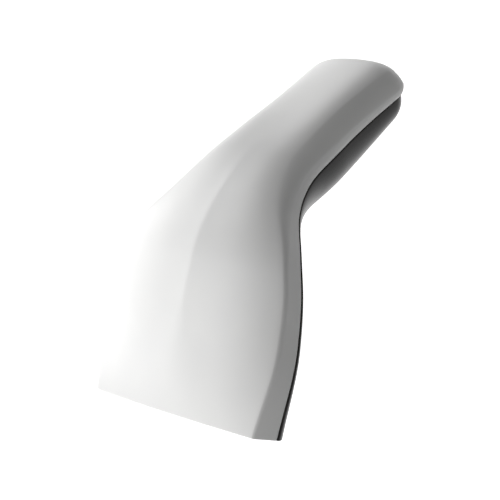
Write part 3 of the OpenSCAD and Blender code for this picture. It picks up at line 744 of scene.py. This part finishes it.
def all_screws():
    sides = (-1, 1)
    casing_places = [upright(HEAD_SCREW[1], x * HEAD_SCREW[0], BOSS_JOINT - BOSS_FLOOR) for x in sides]
    casing_places.append(upright(GRIP_SCREW[1], 0, GRIP_BOSS_JOINT - BOSS_FLOOR))
    chassis = [hanging(0, x * CHASSIS_POST[0], CHASSIS_FLOOR + 1.22, CHASSIS_POST[1]) for x in sides]
    clamp = [hanging(0, x * CLAMP_SCREW_X, 2.84, LENS_Y) for x in sides]
    board = [hanging(BOARD_POST[1], x * BOARD_POST[0], BOARD_TOP + 0.02) for x in sides]
    led = [hanging(0, x * LED_POST[0], LED_TOP + 0.02, LED_POST[1]) for x in sides]
    sensor = [facing_front(0, x * SENSOR_POST[0], SENSOR_POST[1], SENSOR_BOARD_BACK + 0.02) for x in sides]
    return (screws("casing_screw_set", [(CASING_SCREW, casing_places)]),
            screws("chassis_screw_set", [(small_screw(4), chassis), (small_screw(2.2), clamp)]),
            screws("board_screw_set", [(small_screw(4), board + sensor), (small_screw(3.6), led)]))


# --- socket collar: a rounded frame round the cable socket ---
def cable_collar():
    outer = rounded_outline(*COLLAR, 1.2, 8)
    inner = rounded_outline(*PORT, 0.6, 8)
    length, lip = 3.4, 0.4
    quarter = np.linspace(0, math.pi / 2, 6)
    rows = [(outer, 0.0)]
    rows += [(grown(outer, -lip * (1 - math.cos(a))), length - lip * (1 - math.sin(a))) for a in quarter]
    rows += [(grown(inner, lip * (1 - math.sin(a))), length - lip * (1 - math.cos(a))) for a in quarter]
    rows.append((inner, 0.0))
    place = facing_back(SOCKET_FRONT + 0.1, z=SOCKET_MID)
    rings = [place(ring[:, 0], ring[:, 1], np.full(len(ring), y)) for ring, y in rows]
    return skin("cable_collar", rings, closed_loop=True)


# --- materials ---
def material(name, sockets=None):
    mat = bpy.data.materials.new(name)
    mat.use_nodes = True
    nodes, links = mat.node_tree.nodes, mat.node_tree.links
    nodes.clear()
    out = nodes.new("ShaderNodeOutputMaterial")
    bsdf = nodes.new("ShaderNodeBsdfPrincipled")
    links.new(bsdf.outputs[0], out.inputs[0])
    for socket, value in (sockets or {}).items():
        bsdf.inputs[socket].default_value = value
    return mat, nodes, links, bsdf


def noise(nodes, links, scale, detail=2.0, stretch=(1, 1, 1)):
    """Noise over the object, whose features are about 1 / scale metres across."""
    coords = nodes.new("ShaderNodeTexCoord")
    mapping = nodes.new("ShaderNodeMapping")
    mapping.inputs["Scale"].default_value = stretch
    tex = nodes.new("ShaderNodeTexNoise")
    tex.inputs["Scale"].default_value = scale
    tex.inputs["Detail"].default_value = detail
    links.new(coords.outputs["Object"], mapping.inputs["Vector"])
    links.new(mapping.outputs["Vector"], tex.inputs["Vector"])
    return tex


def ramp(nodes, links, source, stops):
    """Colours that follow a value; stops is [(position, colour)]."""
    node = nodes.new("ShaderNodeValToRGB")
    points = node.color_ramp.elements
    for i, (position, colour) in enumerate(stops):
        point = points[i] if i < 2 else points.new(position)
        point.position = position
        point.color = (*colour, 1)
    links.new(source, node.inputs["Fac"])
    return node.outputs["Color"]


def relief(nodes, links, bsdf, height, strength, distance=0.0001, under=None):
    bump = nodes.new("ShaderNodeBump")
    bump.inputs["Strength"].default_value = strength
    bump.inputs["Distance"].default_value = distance
    links.new(height, bump.inputs["Height"])
    if under is not None:
        links.new(under, bump.inputs["Normal"])
    links.new(bump.outputs["Normal"], bsdf.inputs["Normal"])
    return bump.outputs["Normal"]


def finish(name, low, high, rough, spread=0.03, drift=40, grain=1800, bump=0.03, stretch=(1, 1, 1),
           sockets=None):
    """A surface with a little colour drift, uneven gloss and a fine grain."""
    mat, nodes, links, bsdf = material(name, sockets)
    patches = noise(nodes, links, drift)
    links.new(ramp(nodes, links, patches.outputs["Fac"], [(0.35, low), (0.65, high)]),
              bsdf.inputs["Base Color"])
    gloss = noise(nodes, links, 3 * drift, 4, stretch)
    spread_node = nodes.new("ShaderNodeMapRange")
    spread_node.inputs["To Min"].default_value = rough - spread
    spread_node.inputs["To Max"].default_value = rough + spread
    links.new(gloss.outputs["Fac"], spread_node.inputs["Value"])
    links.new(spread_node.outputs["Result"], bsdf.inputs["Roughness"])
    fine = noise(nodes, links, grain, 3, stretch)
    relief(nodes, links, bsdf, fine.outputs["Fac"], bump)
    return mat


def solder_mask():
    """Green lacquer over copper runs, which show as slightly raised lighter lines."""
    mat, nodes, links, bsdf = material("solder_mask", {"Coat Weight": 0.4, "Coat Roughness": 0.2})
    coords = nodes.new("ShaderNodeTexCoord")
    runs = nodes.new("ShaderNodeTexBrick")
    runs.inputs["Scale"].default_value = 320
    runs.inputs["Mortar Size"].default_value = 0.06
    runs.inputs["Mortar Smooth"].default_value = 0.3
    runs.inputs["Color1"].default_value = (0.012, 0.11, 0.045, 1)
    runs.inputs["Color2"].default_value = (0.015, 0.13, 0.05, 1)
    runs.inputs["Mortar"].default_value = (0.04, 0.24, 0.09, 1)
    links.new(coords.outputs["Object"], runs.inputs["Vector"])
    links.new(runs.outputs["Color"], bsdf.inputs["Base Color"])
    bsdf.inputs["Roughness"].default_value = 0.38
    weave = noise(nodes, links, 2600, 2)
    under = relief(nodes, links, bsdf, weave.outputs["Fac"], 0.08)
    relief(nodes, links, bsdf, runs.outputs["Fac"], 0.25, under=under)
    return mat


def flex_film():
    """Amber film over parallel copper tracks."""
    mat, nodes, links, bsdf = material("flex_film", {"Coat Weight": 0.5, "Coat Roughness": 0.15})
    coords = nodes.new("ShaderNodeTexCoord")
    tracks = nodes.new("ShaderNodeTexWave")
    tracks.bands_direction = "X"
    tracks.inputs["Scale"].default_value = 620
    links.new(coords.outputs["Object"], tracks.inputs["Vector"])
    stops = [(0.4, (0.36, 0.15, 0.03)), (0.6, (0.66, 0.36, 0.1))]
    links.new(ramp(nodes, links, tracks.outputs["Fac"], stops), bsdf.inputs["Base Color"])
    bsdf.inputs["Roughness"].default_value = 0.32
    relief(nodes, links, bsdf, tracks.outputs["Fac"], 0.15)
    return mat


METAL = {"Metallic": 1.0}
CLEAR = {"Transmission Weight": 1.0, "IOR": 1.49}
FINISHES = {
    "white_casing": finish("white_abs", (0.78, 0.78, 0.775), (0.81, 0.81, 0.8), 0.42, grain=2600),
    "black_casing": finish("black_gloss", (0.006, 0.0055, 0.0055), (0.009, 0.0085, 0.008), 0.26, grain=2200,
                           bump=0.02, sockets={"Specular IOR Level": 0.16}),
    "black_plastic": finish("black_matte", (0.014, 0.014, 0.014), (0.02, 0.02, 0.02), 0.5, grain=3200,
                            bump=0.15),
    "window": finish("window_pane", (0.9, 0.93, 0.94), (0.94, 0.96, 0.97), 0.05, spread=0.02, grain=300,
                     bump=0.01, sockets=CLEAR),
    "optic_glass": finish("coated_glass", (0.8, 0.88, 0.97), (0.86, 0.93, 1.0), 0.04, spread=0.01, grain=200,
                          bump=0.005, sockets=CLEAR),
    "mirror": finish("mirror_film", (0.9, 0.9, 0.92), (0.94, 0.94, 0.95), 0.05, spread=0.02, grain=400,
                     bump=0.01, sockets=METAL),
    "steel": finish("drawn_steel", (0.5, 0.5, 0.51), (0.62, 0.62, 0.63), 0.3, spread=0.08, grain=2400,
                    bump=0.1, stretch=(1, 0.15, 1), sockets=METAL),
    "dark_screw": finish("black_zinc", (0.05, 0.05, 0.052), (0.08, 0.08, 0.085), 0.36, spread=0.08,
                         grain=3000, bump=0.15, sockets={"Metallic": 0.8}),
    "board": solder_mask(),
    "chip": finish("moulded_epoxy", (0.025, 0.025, 0.026), (0.035, 0.035, 0.036), 0.5, spread=0.06,
                   grain=5200, bump=0.25),
    "led": finish("red_lens", (0.62, 0.02, 0.015), (0.75, 0.04, 0.03), 0.14, grain=600, bump=0.01,
                  sockets={"Transmission Weight": 0.4, "Coat Weight": 0.6}),
    "contact": finish("gold_flash", (0.8, 0.56, 0.2), (0.88, 0.66, 0.3), 0.22, spread=0.06, grain=2800,
                      bump=0.05, stretch=(1, 0.2, 1), sockets=METAL),
    "flex": flex_film(),
    "ivory": finish("ivory_acetal", (0.76, 0.72, 0.62), (0.8, 0.77, 0.68), 0.4, grain=2800, bump=0.05),
}


def give(obj, mat):
    obj.data.materials.clear()
    obj.data.materials.append(mat)


# --- the pieces: each replaces a CAD node and rides on its body ---
def add(piece, body, slot, node):
    give(piece, FINISHES[slot])
    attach(piece, body)
    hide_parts(node)


add(upper_casing(), "casing", "white_casing", "top_shell")
add(lower_casing(), "casing", "black_casing", "bottom_shell")
add(mouth_frame(), "casing", "black_plastic", "nose_frame")
add(trigger_key(), "trigger", "black_casing", "trigger")
add(hinge_pin(), "casing", "steel", "trigger_pin")
add(cable_collar(), "casing", "black_plastic", "socket_collar")
casing_set, chassis_set, board_set = all_screws()
add(casing_set, "casing", "dark_screw", "casing_screws")
add(chassis_set, "casing", "steel", "chassis_screws")
add(board_set, "casing", "steel", "board_screws")

# The spring rides on the casing; its upper end and axis are worked out here, and it gets a mesh of its own
coil = return_coil()
add(coil, "casing", "steel", "return_spring")
spring_top = at_station(SPRING_STATION, 0, SPRING_HIGH)
spring_axis = at_station(SPRING_STATION, 0, SPRING_HIGH + 1) - spring_top
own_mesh(coil)

# CAD nodes that stay as they are take the finish of their own slot
for part in frame["record"]["subparts"]:
    give(frame["nodes"][part["node"]], FINISHES[part["material_slot"]])

# --- floor, light and camera ---
def seen_as(tree, direct, bounced):
    """A value that is `bounced` for the light that surfaces send each other, and `direct` otherwise."""
    rays = tree.nodes.new("ShaderNodeLightPath")
    pick = tree.nodes.new("ShaderNodeMapRange")
    pick.inputs["To Min"].default_value = direct
    pick.inputs["To Max"].default_value = bounced
    tree.links.new(rays.outputs["Is Diffuse Ray"], pick.inputs["Value"])
    return pick.outputs["Result"]


# How bright the floor and the sky look, and how much light they send to other surfaces
FLOOR_SEEN, FLOOR_SENT = 0.8, 0.06
SKY_SEEN, SKY_SENT = 1.0, 0.12
FLOOR_SHADE = 0.2


def studio_floor():
    """A pale floor, which isn't there when it is looked at from below."""
    mat, nodes, links, bsdf = material("floor", {"Roughness": 0.9, "Specular IOR Level": 0.1})
    links.new(seen_as(mat.node_tree, 0.9, FLOOR_SHADE), bsdf.inputs["Base Color"])
    bsdf.inputs["Emission Color"].default_value = (1, 1, 1, 1)
    links.new(seen_as(mat.node_tree, FLOOR_SEEN, FLOOR_SENT), bsdf.inputs["Emission Strength"])
    side = nodes.new("ShaderNodeNewGeometry")
    clear = nodes.new("ShaderNodeBsdfTransparent")
    either = nodes.new("ShaderNodeMixShader")
    links.new(side.outputs["Backfacing"], either.inputs[0])
    links.new(bsdf.outputs[0], either.inputs[1])
    links.new(clear.outputs[0], either.inputs[2])
    out = next(n for n in nodes if n.type == "OUTPUT_MATERIAL")
    links.new(either.outputs[0], out.inputs[0])
    half = 3000
    piece = make_object("floor", [(-half, -half, 0), (half, -half, 0), (half, half, 0), (-half, half, 0)],
                        [(0, 1, 2, 3)])
    give(piece, mat)


def studio_sky():
    world = bpy.data.worlds.new("studio")
    world.use_nodes = True
    sky = world.node_tree.nodes["Background"]
    sky.inputs["Color"].default_value = (1, 1, 1, 1)
    world.node_tree.links.new(seen_as(world.node_tree, SKY_SEEN, SKY_SENT), sky.inputs["Strength"])
    bpy.context.scene.world = world


def lamp(name, kind, energy, toward, place=(0, 0, 0)):
    """A soft lamp without cast shadows; its beam comes from `toward`."""
    data = bpy.data.lights.new(name, kind)
    data.energy = energy
    data.use_shadow = False
    obj = bpy.data.objects.new(name, data)
    obj.rotation_euler = Vector(toward).to_track_quat("Z", "Y").to_euler()
    obj.location = Vector(place) * MM
    bpy.context.scene.collection.objects.link(obj)
    return data


def sun(name, toward, energy):
    lamp(name, "SUN", energy, toward).angle = math.radians(30)


def softbox(name, place, watts, size=60):
    data = lamp(name, "AREA", watts, np.array(place) - MIDDLE, place)
    data.shape = "DISK"
    data.size = size * MM


MIDDLE = np.array([0, 0, 20])
# A solver in another program picked most of these directions and places from an even grid. The
# strengths lie about midway between two of its results.
SUNS = [("key_side", (-0.95, 0.05, 0.31), 0.8), ("key_low", (-0.88, -0.47, 0.09), 2.5),
        ("key_rear", (-0.8, 0.3, 0.5), 0.45), ("rim", (0.81, -0.58, 0.05), 0.15)]
SOFTBOXES = [("top_box", (-37, -68, 108), 0.025), ("rear_box", (-51, 107, 42), 0.018),
             ("front_box", (31, -114, 38), 0.016), ("side_box", (117, 21, 36), 0.004),
             ("far_box", (-105, 70, 100), 0.007), ("neck_box", (-60, 20, 95), 0.0115)]
studio_floor()
studio_sky()
for name, toward, energy in SUNS:
    sun(name, toward, energy)
for name, place, watts in SOFTBOXES:
    softbox(name, place, watts)
bpy.context.scene.view_settings.view_transform = "Standard"

# The camera comes from the same fit as the casing's sections, rounded, with its aim moved a little
AIM = np.array([-1.9, -7.8, 19.1])
BACK = unit(np.array([0.7121, -0.2472, 0.6572]))
DISTANCE = 545
ROLL = math.radians(-50.2)
LENS = 128.8
camera_data = bpy.data.cameras.new("camera")
camera_data.sensor_width = 36
camera_data.lens = LENS
camera_data.clip_start = 0.01
camera = bpy.data.objects.new("camera", camera_data)
level = Vector(BACK).to_track_quat("Z", "Y").to_matrix()
camera.matrix_world = (Matrix.Translation((AIM + DISTANCE * BACK) * MM)
                       @ (level @ Matrix.Rotation(ROLL, 3, "Z")).to_4x4())
bpy.context.scene.collection.objects.link(camera)
bpy.context.scene.camera = camera
